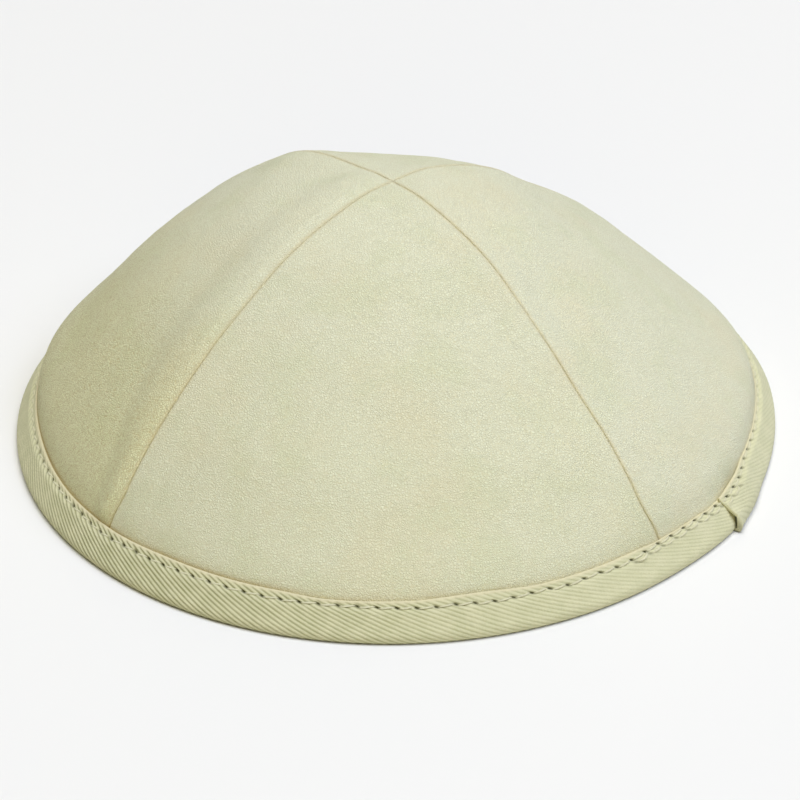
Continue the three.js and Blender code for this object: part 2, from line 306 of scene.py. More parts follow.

# How strongly the ribs, the needle holes and the suede's painted shade along the tape show, by the
# same azimuths.
RIB_STRENGTH = (
    (-300, 0.40), (-280, 0.25), (-262, 0.20), (-235, 0.70), (-120, 0.70), (-85, 0.40), (-64, 0.80),
    (-48, 1.50), (-28, 1.30), (-5, 0.90), (25, 0.60), (40, 0.35), (70, 0.35),
)
HOLE_STRENGTH = (
    (-300, 1.00), (-284, 0.75), (-274, 0.20), (-255, 0.20), (-235, 0.60), (-125, 0.60),
    (-105, 0.15), (-82, 0.15), (-72, 0.80), (-64, 1.00), (70, 1.00),
)
HEM_STRENGTH = (
    (-300, 0.35), (-230, 0.60), (-110, 0.90), (-60, 1.00), (-25, 0.75), (10, 0.40), (70, 0.35),
)


def eased(table, azimuth):
    """A table's value at each azimuth, eased from row to row."""
    places = np.radians([place for place, _ in table])
    values = np.array([value for _, value in table])
    number = np.clip(np.searchsorted(places, azimuth) - 1, 0, len(places) - 2)
    share = smoothstep(azimuth, places[number], places[number + 1])
    return values[number] + (values[number + 1] - values[number]) * share


def unrolled(azimuth):
    """Azimuths counted along the tape, so that those past the lap lie on its upper layer."""
    return np.where(azimuth > LAP_AZIMUTH, azimuth - FULL_TURN, azimuth)


def tape_top(form, azimuth):
    """How far up the wall the tape reaches."""
    return form.tape.outside + eased(EDGE_WANDER, azimuth) * MM


def stitch_line(form, azimuth):
    """How far up the wall the first row of stitches lies."""
    return form.tape.outside - form.tape.stitch_inset + eased(STITCH_WANDER, azimuth) * MM


def lap_layer(form):
    """How far a second layer of tape stands off the first."""
    return form.tape.thickness + form.tape.clearance


def lap_rise(form):
    """How far up the wall the fold moves so that a second layer fits below it."""
    ends = form.line(np.array([1 - 1 / CURVE_DIVISIONS, 1.0]))
    fall = (ends[1][0] - ends[1][1]) / math.hypot(ends[0][1] - ends[0][0], ends[1][0] - ends[1][1])
    return lap_layer(form) / fall


def grid_mesh(name, columns, rows):
    """A flat grid made with bmesh, and the column and row number of each of its vertices."""
    bm = bmesh.new()
    bmesh.ops.create_grid(bm, x_segments=columns, y_segments=rows, size=1.0)
    mesh = bpy.data.meshes.new(name)
    bm.to_mesh(mesh)
    bm.free()
    places = np.empty(len(mesh.vertices) * 3, dtype=np.float32)
    mesh.vertices.foreach_get("co", places)
    places = places.reshape(-1, 3).astype(float)
    low, high = places.min(axis=0), places.max(axis=0)
    across = np.rint((places[:, 0] - low[0]) / (high[0] - low[0]) * columns).astype(int)
    down = np.rint((places[:, 1] - low[1]) / (high[1] - low[1]) * rows).astype(int)
    return mesh, across, down


def place_vertices(mesh, points):
    """Moves a mesh's vertices to these points."""
    mesh.vertices.foreach_set("co", np.ascontiguousarray(points, dtype=np.float32).ravel())
    mesh.update()


def set_attribute(mesh, name, values):
    """Keeps one number for each vertex, for the materials to read."""
    layer = mesh.attributes.new(name, "FLOAT", "POINT")
    layer.data.foreach_set("value", np.ascontiguousarray(values, dtype=np.float32))


def set_uv(mesh, name, across, along):
    """Gives each corner the two measures of its vertex."""
    layer = mesh.uv_layers.new(name=name)
    corners = np.empty(len(mesh.loops), dtype=np.int32)
    mesh.loops.foreach_get("vertex_index", corners)
    pairs = np.stack([across[corners], along[corners]], axis=-1)
    layer.data.foreach_set("uv", np.ascontiguousarray(pairs, dtype=np.float32).ravel())


def close_mesh(mesh):
    """Merges what meets, fills the open ends, and turns every face outwards."""
    bm = bmesh.new()
    bm.from_mesh(mesh)
    bmesh.ops.remove_doubles(bm, verts=bm.verts, dist=MERGE_DISTANCE)
    bmesh.ops.dissolve_degenerate(bm, edges=bm.edges, dist=MERGE_DISTANCE)
    rims = [edge for edge in bm.edges if edge.is_boundary]
    bmesh.ops.holes_fill(bm, edges=rims, sides=0)
    bmesh.ops.recalc_face_normals(bm, faces=bm.faces)
    for face in bm.faces:
        face.smooth = True
    bm.to_mesh(mesh)
    bm.free()



def finish_piece(mesh, material, slot, *replaced):
    """Makes the piece's object, rides it on the cap's body and hides the solids that it replaces."""
    piece = bpy.data.objects.new(mesh.name, mesh)
    bpy.context.scene.collection.objects.link(piece)
    mesh.materials.append(material)
    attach(piece, "root")
    if replaced:
        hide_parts(*replaced)
    return piece


def soft_noise(points, size, seed):
    """Smooth noise from -1 to 1 at each point, with features of about this size."""
    shift = Vector((seed * 17.3, seed * 5.7, seed * 11.9))
    return np.array([noise.noise(Vector(point) / size + shift) for point in points])


# Finenesses of the panels' meshes.
PANEL_ROWS = 150
FACE_COLUMNS = 180
ROLL_STEPS = 6
BACK_COLUMNS = 44
UNDER_STEPS = 3
ALLOWANCE_COLUMNS = 4

# Near the crown a seam's roll and its allowances take up at most these shares of half the panel.
# The allowances thin out over a length above the tape's inner leg, and are rounded at the seam.
# Their cut edges lean by a share of their thickness.
ROLL_MOST = 0.3
ALLOWANCE_MOST = 0.6
ALLOWANCE_FADE = 0.8 * MM
ALLOWANCE_ROUNDING = 0.5 * MM
CUT_LEAN = 0.12

# The cloth is raised over the allowances, as far from a seam as near, and not at all beyond far. It
# starts above the tape, between these shares of its outer leg. Beside the front's left seam the
# ridge is taller and wider, and narrows by two shares down the panel.
RIDGE_NEAR = 4.0 * MM
RIDGE_FAR = 8.5 * MM
RIDGE_STARTS = (0.8, 1.5)
LEFT_RIDGE_NARROWS = (0.55, 0.92)
LEFT_RIDGE_NEAR = 6.0 * MM
LEFT_RIDGE_NEAR_LOSS = 0.6
LEFT_RIDGE_FAR = 17.0 * MM
LEFT_RIDGE_FAR_LOSS = 0.5
LEFT_RIDGE_RISE = 1.0 * MM

# The pull of the rim's stitches on the cloth above the tape, and the painted shade where the two
# meet: a line and a wider band.
HEM_PULL = 0.15 * MM
HEM_PULL_REACH = 2.6 * MM
HEM_LINE = 0.4 * MM
HEM_LINE_SHADE = 0.55
HEM_BAND = 2.2 * MM
HEM_BAND_SHADE = 0.3

# The lower parts of the left and front panels get painted shade: more olive, with a coarser mottle
# and darker pebble grooves. It starts between these azimuths from the back seam of the left panel.
SHADOWED_PANELS = {"left": 1.0, "front": 0.15}
SHADOWED_GROWS = (0.3, 0.8)
SHADOWED_STARTS = (math.radians(-132.0), math.radians(-92.0))

# The cloth's unevenness: the sizes and seeds of its sags and creases. It grows from nothing at the
# crown over a radius, and above the tape between these shares of its outer leg.
SAG_SIZE = 24 * MM
SAG_SEED = 1
CREASE_SIZE = 4.5 * MM
CREASE_SEED = 2
CROWN_CALM = 12 * MM
UNEVEN_STARTS = (0.6, 2.5)


def panel_ring():
    """The stations round a panel's section: kind, share within the kind, and side of the panel."""
    ring = []
    for k in range(ROLL_STEPS):
        ring.append(("roll", k / ROLL_STEPS, -1))
    for k in range(FACE_COLUMNS + 1):
        ring.append(("face", k / FACE_COLUMNS, 0))
    for k in reversed(range(ROLL_STEPS)):
        ring.append(("roll", k / ROLL_STEPS, 1))
    for k in range(UNDER_STEPS + 1):
        ring.append(("under", k / UNDER_STEPS, 1))
    for k in range(1, ALLOWANCE_COLUMNS + 1):
        ring.append(("allowance", k / ALLOWANCE_COLUMNS, 1))
    ring.append(("cut", 1.0, 1))
    for k in range(BACK_COLUMNS + 1):
        ring.append(("back", k / BACK_COLUMNS, 0))
    ring.append(("cut", 1.0, -1))
    for k in reversed(range(1, ALLOWANCE_COLUMNS + 1)):
        ring.append(("allowance", k / ALLOWANCE_COLUMNS, -1))
    for k in reversed(range(UNDER_STEPS + 1)):
        ring.append(("under", k / UNDER_STEPS, -1))
    ring.append(("roll", 0.0, -1))
    return ring


def panel_section(form, share):
    """Angle and height above the cloth's middle of each station, for each share down the panel."""
    cap = form.cap
    half_thickness = cap.panel_thickness / 2
    radius, _ = form.line(share)
    middle = radius * math.sin(HALF_PANEL)
    up = (1 - share) * form.seam_length
    room = np.minimum(1.0, middle * ROLL_MOST / cap.seam_roll)
    roll = cap.seam_roll * room
    depth = cap.seam_depth * room
    gap = np.minimum(cap.seam_gap / 2, middle)
    inner = np.minimum(cap.allowance_width, middle * ALLOWANCE_MOST)
    allowance_end = form.tape.inside + form.tape.clearance
    doubling = smoothstep(up, allowance_end, allowance_end + ALLOWANCE_FADE)
    doubled = cap.allowance_thickness * doubling
    rounding = np.minimum(ALLOWANCE_ROUNDING, inner / 2)

    def from_seam(distance):
        share_out = np.minimum(math.sin(HALF_PANEL), distance / np.maximum(radius, NEARLY_NOTHING))
        return HALF_PANEL - np.arcsin(share_out)

    angles, heights, inside = [], [], []
    for kind, part, side in panel_ring():
        turn = part * math.pi / 2
        if kind == "roll":
            distance = gap + (roll - gap) * (1 - math.cos(turn))
            height = half_thickness - depth * (1 - math.sin(turn))
        elif kind == "face":
            edge = from_seam(roll)
            height = half_thickness
        elif kind == "under":
            distance = gap + np.maximum(rounding - gap, 0) * (1 - math.cos(turn))
            height = -half_thickness - doubled + rounding * (1 - math.sin(turn)) * doubling
        elif kind == "allowance":
            distance = rounding + (inner - rounding) * part
            height = -half_thickness - doubled
        elif kind == "cut":
            distance = inner
            height = -half_thickness - CUT_LEAN * doubled
        else:
            edge = from_seam(inner)
            height = -half_thickness
        if side:
            angle = side * from_seam(distance)
        elif kind == "face":
            angle = edge * (2 * part - 1)
        else:
            angle = edge * (1 - 2 * part)
        angles.append(np.broadcast_to(angle, share.shape))
        heights.append(np.broadcast_to(height, share.shape))
        inside.append(np.full(share.shape, float(kind not in ("roll", "face"))))
    return np.stack(angles, -1), np.stack(heights, -1), np.stack(inside, -1)


def dent_depth(form, panel, share, across):
    """How deep the panel's soft hollows are at a place."""
    depth = np.zeros_like(across)
    for values in DENTS:
        dent = dict(zip(DENT_COLUMNS, values))
        if dent["panel"] == panel["name"]:
            below = (share - dent["down"]) / dent["reach_down"]
            beside = (across - dent["across"]) / dent["reach_across"]
            depth = depth + dent["depth"] * form.crown_depth * np.exp(-below * below - beside * beside)
    return depth


def seam_distances(form, share, angle):
    """Distances of a place from the panel's first and second seam."""
    radius, _ = form.line(share)
    return radius * np.sin(HALF_PANEL + angle), radius * np.sin(HALF_PANEL - angle)


def panel_relief(form, panel, share, angle):
    """How far the cloth stands out of its plain form: hollows, ridges over the allowances and sags."""
    cap = form.cap
    radius, height = form.line(share, panel, angle)
    up = (1 - share) * form.seam_length
    relief = -dent_depth(form, panel, share, 0.5 + angle / PANEL_ANGLE)
    calm = smoothstep(radius, 0.0, CROWN_CALM)
    free = smoothstep(up / form.tape.outside, *RIDGE_STARTS)
    first, second = seam_distances(form, share, angle)
    for seam, distance, other in ((panel["first"], first, second), (panel["second"], second, first)):
        tall, near, far = cap.ridge_height, RIDGE_NEAR, RIDGE_FAR
        if panel["name"] == "left" and seam == "front_left":
            narrowing = smoothstep(share, *LEFT_RIDGE_NARROWS)
            near = LEFT_RIDGE_NEAR * (1 - LEFT_RIDGE_NEAR_LOSS * narrowing)
            far = LEFT_RIDGE_FAR * (1 - LEFT_RIDGE_FAR_LOSS * narrowing)
            tall = tall + LEFT_RIDGE_RISE * smoothstep(distance, 0.0, LEFT_RIDGE_NEAR / 2)
        away_from_other = smoothstep(other / np.maximum(distance + other, NEARLY_NOTHING), 0.0, 0.5)
        relief += tall * calm * free * away_from_other * (1 - smoothstep(distance, near, far))
    relief -= HEM_PULL * (1 - smoothstep(up, form.tape.outside, form.tape.outside + HEM_PULL_REACH))
    azimuth = panel["middle"] + angle
    places = np.stack([radius * np.sin(azimuth), -radius * np.cos(azimuth), height], axis=-1)
    flat_places = places.reshape(-1, 3)
    sag = soft_noise(flat_places, SAG_SIZE, SAG_SEED).reshape(share.shape)
    crease = soft_noise(flat_places, CREASE_SIZE, CREASE_SEED).reshape(share.shape)
    settled = calm * smoothstep(up / form.tape.outside, *UNEVEN_STARTS)
    return relief + settled * (cap.sag_height * sag + cap.crease_height * crease)


# How far each of the front's seams moves round at the rim, and how far its neighbourhood follows,
# in degrees, and the heights between which this fades.
SEAM_SPREADS = ((-45.0, -1.05), (45.0, 1.35))
SPREAD_REACH = 14.0
SPREAD_LOW = 6 * MM
SPREAD_HIGH = 16 * MM


def seam_wander(azimuth, height):
    """Azimuths moved round near the rim, where the front's two seams spread."""
    low = 1 - smoothstep(height, SPREAD_LOW, SPREAD_HIGH)
    moved = azimuth
    for seam, spread in SEAM_SPREADS:
        away = azimuth - math.radians(seam)
        aside = np.degrees(np.arctan2(np.sin(away), np.cos(away))) / SPREAD_REACH
        moved = moved + math.radians(spread) * low * np.exp(-aside * aside)
    return moved


def suede_panel(form, panel, material):
    """One panel: its face, rolled seam edges, turned allowances and back, as one closed body."""
    ring = panel_ring()
    mesh, station, row = grid_mesh("suede_panel_" + panel["name"], len(ring) - 1, PANEL_ROWS)
    rise = form.tape.clearance + lap_rise(form)
    shares = np.linspace(0.0, 1 - rise / form.seam_length, PANEL_ROWS + 1)
    angles, heights, inside = panel_section(form, shares)
    share_grid = np.repeat(shares[:, None], len(ring), axis=1)
    relief = panel_relief(form, panel, share_grid, angles)
    radius, height = form.offset(share_grid, heights + relief, panel, angles)
    azimuth = seam_wander(panel["middle"] + angles, height)
    points = form.spatial(np.maximum(radius, 0.0), height, azimuth)
    points[0, :, :2] = 0.0
    place_vertices(mesh, points[row, station])
    from_seam = np.minimum(*seam_distances(form, share_grid, angles)) / MM
    up = (1 - share_grid) * form.seam_length
    # Painted shade on the suede just above the tape: a thin line and a wider band.
    above_tape = up - tape_top(form, unrolled(azimuth))
    strength = eased(HEM_STRENGTH, unrolled(azimuth))
    line = np.exp(-(np.maximum(above_tape, 0.0) / HEM_LINE) ** 2)
    hem = strength * (HEM_LINE_SHADE * line + HEM_BAND_SHADE * (1 - smoothstep(above_tape, 0.0, HEM_BAND)))
    # Painted shade on the lower left: a mask for a more olive colour, a coarser mottle and darker pebble
    # grooves.
    shadowed = smoothstep(share_grid, *SHADOWED_GROWS) * smoothstep(azimuth, *SHADOWED_STARTS)
    shadowed = shadowed * SHADOWED_PANELS.get(panel["name"], 0.0)
    for name, values in (("from_seam", from_seam), ("hem", hem), ("shadowed", shadowed), ("inside", inside)):
        set_attribute(mesh, name, values[row, station])
    close_mesh(mesh)
    return finish_piece(mesh, material, "panel_suede", "panel_" + panel["name"])


# Finenesses of the tape's mesh, and where its rows lie across the visible outer leg, as shares
# from the rolled edge to the fold. They are closest where the stitches pull the tape in.
RIB_STEPS = 5
EDGE_STEPS = 5
LEG_ROWS = (
    0.0, 0.04, 0.08, 0.11, 0.14, 0.17, 0.2, 0.23, 0.26, 0.29, 0.33, 0.38, 0.44, 0.5, 0.56, 0.62,
    0.68, 0.74, 0.8, 0.86, 0.93, 1.0,
)
FOLD_STEPS = 9
INNER_ROWS = (0.0, 0.15, 0.32, 0.5, 0.66, 0.8, 0.92, 1.0)
HIDDEN_STEPS = 3
END_STEPS = (0.45 * MM, 0.32 * MM, 0.2 * MM, 0.1 * MM, 0.03 * MM, 0.0)

# The tape's edge lies close to the cloth, pressed thin from a little below the stitches. Where it
# laps, the stitches press its two layers together by a share.
EDGE_NEAR = 0.28 * MM
PRESS_REACH = 1.2 * MM
PULL_REACH = 0.7 * MM
LAP_PRESS = 0.35
LAP_PRESS_REACH = 1.5 * MM
END_ROLL = 0.15 * MM
END_FLARE = 1.0 * MM
END_FLARE_LENGTH = 2.5 * MM
FLOOR_ROUNDING = 0.25 * MM

# Between these two azimuths the front has this many longer stitches.
STITCH_RADIUS = 88.5 * MM
FRONT_FIRST = math.radians(-28.1)
FRONT_LAST = math.radians(51.3)
FRONT_STITCHES = 28

# The second row runs on over the lap, below the first.
SECOND_FIRST = math.radians(40.4)
SECOND_LAST = math.radians(65.6)
SECOND_STITCHES = 9
SECOND_DROP = 0.87 * MM
SECOND_DEPTH = 0.6

# The form of a rib's section, the share of its height that lies above the plain face, the width of
# the tape's edge that shows no ribs, and where the painted highlight on the edge fades.
RIB_ROUNDNESS = 2.2
RIB_PROUD = 0.4
BARE_EDGE = 0.45 * MM
EDGE_HIGHLIGHT_FADES = (0.3 * MM, 0.9 * MM)

# Where the tape's free end lifts, as shares of the outer leg and of the fold.
FLARE_ON_LEG = (0.5, 1.0)
FLARE_ON_FOLD = (0.3, 0.8)

# How far above the table the tape gets a painted contact shadow, on the cap's left and right.
CONTACT_LEFT = 0.8 * MM
CONTACT_RIGHT = 0.4 * MM


def tape_ring(form):
    """The stations round the tape's section: kind, share within the kind, and place across the tape."""
    outside, inside = form.tape.outside, form.tape.inside
    fold = math.pi * (form.cap.panel_thickness / 2 + lap_layer(form))
    ring = []
    for k in range(EDGE_STEPS):
        ring.append(("edge", k / EDGE_STEPS, 0.0))
    for part in LEG_ROWS:
        ring.append(("leg", part, outside * part))
    for k in range(1, FOLD_STEPS):
        ring.append(("fold", k / FOLD_STEPS, outside + fold * k / FOLD_STEPS))
    for part in INNER_ROWS:
        ring.append(("inner", part, outside + fold + inside * part))
    for k in range(1, HIDDEN_STEPS + 1):
        ring.append(("inner_near", 1 - k / HIDDEN_STEPS, outside + fold + inside * (1 - k / HIDDEN_STEPS)))
    for k in range(1, HIDDEN_STEPS + 1):
        ring.append(("cavity", 1 - k / HIDDEN_STEPS, outside + fold * (1 - k / HIDDEN_STEPS)))
    for k in range(1, HIDDEN_STEPS):
        ring.append(("near", 1 - k / HIDDEN_STEPS, outside * (1 - k / HIDDEN_STEPS)))
    ring.append(("edge", 0.0, 0.0))
    return ring


def tape_layers(form, azimuth):
    """Along the tape: room for a layer inside the fold, the fold's rise and its floor."""
    radius = form.cap.rim_radius
    covered = LAP_AZIMUTH - FULL_TURN + form.tape.lap_length / radius
    below = smoothstep(azimuth, LAP_AZIMUTH, LAP_AZIMUTH + LAP_RAMP_BELOW / radius)
    above = 1 - smoothstep(azimuth, covered, covered + LAP_RAMP_ABOVE / radius)
    rise = lap_rise(form) * (below + UPPER_RISE * above)
    return lap_layer(form) * above, rise, lap_layer(form) * below


def leg_up(form, azimuth, rise, parts):
    """How far up the wall the rows of the outer leg lie, from its rolled edge down to the fold."""
    start = tape_top(form, azimuth) - form.tape.edge_thickness / 2
    return start + (rise - start) * parts


def leg_near(form, azimuth, spare, up):
    """Room that a second layer of tape leaves under the outer leg, less where the stitches press."""
    line = stitch_line(form, azimuth)
    return spare * (1 - LAP_PRESS * smoothstep(up, line - LAP_PRESS_REACH, line))


def leg_face(form, azimuth, spare, up):
    """How far the outer leg's face stands off the cloth's middle."""
    tape, line = form.tape, stitch_line(form, azimuth)
    plain = form.cap.panel_thickness / 2 + lap_layer(form)
    pressed = smoothstep(up, line - PRESS_REACH, tape_top(form, azimuth))
    away = (up - line) / PULL_REACH
    pulled = tape.stitch_pull * np.exp(-away * away)
    edge_face = EDGE_NEAR + tape.edge_thickness
    return leg_near(form, azimuth, spare, up) + plain + (edge_face - plain) * pressed - pulled


def soft_floor(height, floor):
    """Heights that don't fall below a floor, with a small rounding where they meet it."""
    above = (height - floor) / FLOOR_ROUNDING
    rounded = (np.clip(above, -1, 1) + 1) ** 2 / 4
    return floor + FLOOR_ROUNDING * np.where(above > 1, above, rounded)


def tape_points(form, azimuth, kinds, parts, lift, flare):
    """Points of the tape's stations at these azimuths, moved out of its surface by lift."""
    tape = form.tape
    spare, rise, floor = tape_layers(form, azimuth)
    spare = spare + flare
    near = form.cap.panel_thickness / 2 + tape.clearance + spare
    far = near + tape.thickness
    top = tape_top(form, azimuth)
    edge_near = EDGE_NEAR + leg_near(form, azimuth, spare, top)
    middle_radius, middle_height = form.wall(rise, 0.0)
    out_radius, out_height = form.wall(rise, 1 * MM)
    lean = np.arctan2(out_height - middle_height, out_radius - middle_radius)
    radius, height = np.zeros_like(azimuth), np.zeros_like(azimuth)

    def on_wall(chosen, up, distance):
        radius[chosen], height[chosen] = form.wall(up[chosen], distance[chosen])

    def round_fold(chosen, reach, lowest):
        angle = (lean - math.pi * parts)[chosen]
        radius[chosen] = middle_radius[chosen] + reach[chosen] * np.cos(angle)
        height[chosen] = soft_floor(middle_height[chosen] + reach[chosen] * np.sin(angle), lowest[chosen])

    turn = parts * math.pi - math.pi / 2
    half = tape.edge_thickness / 2
    on_wall(kinds == "edge", top - half * (1 - np.cos(turn)), edge_near + half * (1 + np.sin(turn)))
    up = leg_up(form, azimuth, rise, parts)
    on_wall(kinds == "leg", up, leg_face(form, azimuth, spare, up) + lift)
    round_fold(kinds == "fold", far + lift, floor)
    on_wall(kinds == "inner", rise + (tape.inside - rise) * parts, -far - lift)
    on_wall(kinds == "inner_near", rise + (tape.inside - rise) * parts, -near)
    round_fold(kinds == "cavity", near, floor + tape.thickness)
    on_wall(kinds == "near", up, np.where(parts < 0.5, edge_near, near))
    return form.spatial(radius, height, azimuth)


def hole_azimuths(form):
    """Azimuths of the needle holes of the first row, over the visible turn of the tape."""
    front = np.linspace(FRONT_FIRST, FRONT_LAST, FRONT_STITCHES + 1)
    others = form.tape.stitch_count - FRONT_STITCHES
    rest = np.linspace(FRONT_LAST, FRONT_FIRST + FULL_TURN, others + 1)[1:-1]
    return np.sort(unrolled(np.concatenate([front, rest])))


def second_hole_azimuths():
    """Azimuths of the needle holes of the short second row."""
    return np.linspace(SECOND_FIRST, SECOND_LAST, SECOND_STITCHES + 1)


def hole_mask(form, azimuth, down, holes):
    """1 in the middle of a needle hole and 0 outside it, by the distance down from the stitches."""
    tape = form.tape
    after = np.clip(np.searchsorted(holes, azimuth), 1, len(holes) - 1)
    before_nearer = azimuth - holes[after - 1] < holes[after] - azimuth
    along = (azimuth - np.where(before_nearer, holes[after - 1], holes[after])) * STITCH_RADIUS
    lengthwise = along * math.cos(tape.rib_angle) + down * math.sin(tape.rib_angle)
    crosswise = down * math.cos(tape.rib_angle) - along * math.sin(tape.rib_angle)
    far = (lengthwise / (tape.hole_length / 2)) ** 2 + (crosswise / (tape.hole_width / 2)) ** 2
    return np.exp(-far * far)


def needle_holes(form, azimuth, up):
    """The holes of both rows of stitches."""
    line = stitch_line(form, azimuth)
    first = hole_mask(form, azimuth, line - up, hole_azimuths(form))
    second_holes = np.sort(unrolled(second_hole_azimuths()))
    second = hole_mask(form, azimuth, line - SECOND_DROP - up, second_holes)
    return np.maximum(first, SECOND_DEPTH * second) * eased(HOLE_STRENGTH, azimuth)


def twill_tape(form, material):
    """The folded tape with its twill ribs, needle holes and lapped ends, as one closed body."""
    tape, radius = form.tape, form.cap.rim_radius
    ring = tape_ring(form)
    places = np.array([place for _, _, place in ring])
    shear = 1 / math.tan(tape.rib_angle)
    rib_pitch = tape.rib_spacing / math.sin(tape.rib_angle)
    hidden_end = LAP_AZIMUTH * radius + tape.lap_length
    upper_end = (LAP_AZIMUTH - FULL_TURN) * radius
    first_rib = math.floor((upper_end - places.max() * shear) / rib_pitch)
    last_rib = math.ceil(hidden_end / rib_pitch)
    base = np.arange(first_rib * RIB_STEPS, last_rib * RIB_STEPS + 1) * rib_pitch / RIB_STEPS
    along = np.clip(base[:, None] + places[None] * shear, upper_end + END_STEPS[0], hidden_end)
    ends = upper_end + np.array(END_STEPS)[:0:-1, None]
    along = np.concatenate([np.repeat(ends, len(ring), axis=1), along])
    phase = ((along - places[None] * shear) / rib_pitch) % 1.0
    mesh, station, row = grid_mesh("twill_rim_tape", len(ring) - 1, len(along) - 1)
    kinds = np.broadcast_to(np.array([kind for kind, _, _ in ring]), along.shape)
    parts = np.broadcast_to(np.array([part for _, part, _ in ring]), along.shape).astype(float)
    azimuth = along / radius

    _, rise, _ = tape_layers(form, azimuth)
    up = leg_up(form, azimuth, rise, parts)
    below_top = tape_top(form, azimuth) - up
    crest = 1 - np.abs(2 * phase - 1) ** RIB_ROUNDNESS
    on_leg = kinds == "leg"
    ribbed = np.where(on_leg, smoothstep(below_top, 0.0, BARE_EDGE), np.isin(kinds, ["fold", "inner"]))
    ribbed = ribbed * eased(RIB_STRENGTH, azimuth)
    pits = np.where(on_leg, needle_holes(form, azimuth, up), 0.0)
    lift = tape.rib_height * ribbed * (crest - 1 + RIB_PROUD) - tape.hole_depth * pits

    from_end = along - upper_end
    rolled = END_ROLL * (1 - smoothstep(from_end, 0.0, END_STEPS[0])) ** 2
    low_on_leg = np.isin(kinds, ["leg", "near"]) * smoothstep(parts, *FLARE_ON_LEG)
    low_on_fold = np.isin(kinds, ["fold", "cavity"]) * (1 - smoothstep(parts, *FLARE_ON_FOLD))
    flare = END_FLARE * (low_on_leg + low_on_fold) * np.exp(-from_end / END_FLARE_LENGTH)
    points = tape_points(form, azimuth, kinds, parts, lift - rolled, flare)
    place_vertices(mesh, points[row, station])
    groove = np.minimum((1 - crest) * ribbed, 1.0)
    # Painted contact shadow on the tape near the table.
    contact = 1 - smoothstep(points[..., 2], 0.0, np.where(azimuth < 0, CONTACT_LEFT, CONTACT_RIGHT))
    # Painted highlight along the tape's rolled upper edge.
    edge = np.where(on_leg, 1 - smoothstep(below_top, *EDGE_HIGHLIGHT_FADES), kinds == "edge")
    for name, values in (("groove", groove), ("contact", contact), ("pit", pits), ("edge", edge)):
        set_attribute(mesh, name, values[row, station])
    across = np.broadcast_to(places[None], along.shape)
    set_uv(mesh, "weave", (along / MM)[row, station], (across / MM)[row, station])
    close_mesh(mesh)
    return finish_piece(mesh, material, "rim_twill", "rim_tape")


# Fineness of a stitch's mesh, and its form: the thread dips into the holes at its ends, where it is
# thinner by a share, and its right end lies higher than its left one. Its thickness and its arch
# rise from the ends by two powers. Round the left it is pulled deeper into the tape. Each stitch
# ends a share of a needle hole's length past the hole's middle.
THREAD_SIDES = 8
THREAD_STEPS = 9
THREAD_TAPER = 0.75
THREAD_FULLNESS = 0.5
THREAD_ARCH = 0.6
THREAD_TRIM = 0.25
THREAD_SLANT = 0.2 * MM
THREAD_DIVE = 0.45 * MM
THREAD_PROUD = 0.1 * MM
THREAD_SUNK = 0.22 * MM
THREAD_FLATNESS = 0.75
THREAD_WOBBLE = 0.07 * MM
STITCH_SEED = 4

# The first stitch of the second row is slack: wider by a share, higher, and with its own form.
SLACK_WIDTH = 1.35
SLACK_RISE = 0.35 * MM
SLACK_FORM = {"slant": 0.55 * MM, "slack": 0.25 * MM, "proud": 0.3 * MM}


def thread_piece(form, name, runs, material):
    """Short tubes, one for each run of thread, made from one grid that is cut between the runs."""
    per_run = THREAD_STEPS + 1
    mesh, side, row = grid_mesh(name, THREAD_SIDES, len(runs) * per_run - 1)
    azimuths, ups, lifts = (np.empty((len(runs) * per_run, THREAD_SIDES + 1)) for _ in range(3))
    turn = np.linspace(0, FULL_TURN, THREAD_SIDES + 1)
    for number, run in enumerate(runs):
        for step in range(per_run):
            part = step / THREAD_STEPS
            swell = math.sin(math.pi * part) if 0 < part < 1 else 0.0
            thick = run["width"] / 2 * (1 - THREAD_TAPER + THREAD_TAPER * swell ** THREAD_FULLNESS)
            here = number * per_run + step
            rise = run["up"] + run["slant"] * (2 * part - 1) - run["slack"] * swell
            dive = (THREAD_DIVE + run["proud"]) * (1 - swell ** THREAD_ARCH)
            arch = run["proud"] + thick * THREAD_FLATNESS - dive
            azimuths[here] = run["start"] + (run["end"] - run["start"]) * part
            ups[here] = rise + thick * np.cos(turn)
            lifts[here] = arch + thick * THREAD_FLATNESS * np.sin(turn)
    points = points_on_tape(form, azimuths, ups, lifts, runs[0]["inside"])
    place_vertices(mesh, points[row, side])
    twist = np.repeat(turn[None], len(azimuths), axis=0)
    set_uv(mesh, "thread", (azimuths * STITCH_RADIUS / MM)[row, side], twist[row, side])
    bm = bmesh.new()
    bm.from_mesh(mesh)
    between = [
        face for face in bm.faces
        if len({row[vertex.index] // per_run for vertex in face.verts}) > 1
    ]
    bmesh.ops.delete(bm, geom=between, context="FACES")
    bm.to_mesh(mesh)
    bm.free()
    close_mesh(mesh)
    return finish_piece(mesh, material, "rim_twill")


def points_on_tape(form, azimuth, up, lift, inside):
    """Points above the tape's face, outside or inside the cap, by their height up the wall."""
    azimuth = unrolled(azimuth)
    spare, _, _ = tape_layers(form, azimuth)
    if inside:
        radius, height = form.wall(up, -form.cap.panel_thickness / 2 - lap_layer(form) - spare - lift)
    else:
        radius, height = form.wall(up, leg_face(form, azimuth, spare, up) + lift)
    return form.spatial(radius, height, azimuth)


def stitch_run(form, start, end, drop, inside, wobble):
    """One run of thread between two needle holes."""
    middle = unrolled(np.array([(start + end) / 2]))
    trim = form.tape.hole_length * THREAD_TRIM / STITCH_RADIUS
    sunk = 1 - smoothstep(start, FRONT_FIRST, FRONT_FIRST / 2)
    return {
        "start": start + trim,
        "end": end - trim,
        "up": stitch_line(form, middle)[0] - drop + wobble * THREAD_WOBBLE,
        "slant": THREAD_SLANT,
        "slack": 0.0,
        "proud": THREAD_PROUD - THREAD_SUNK * sunk,
        "width": form.tape.thread_width,
        "inside": inside,
    }


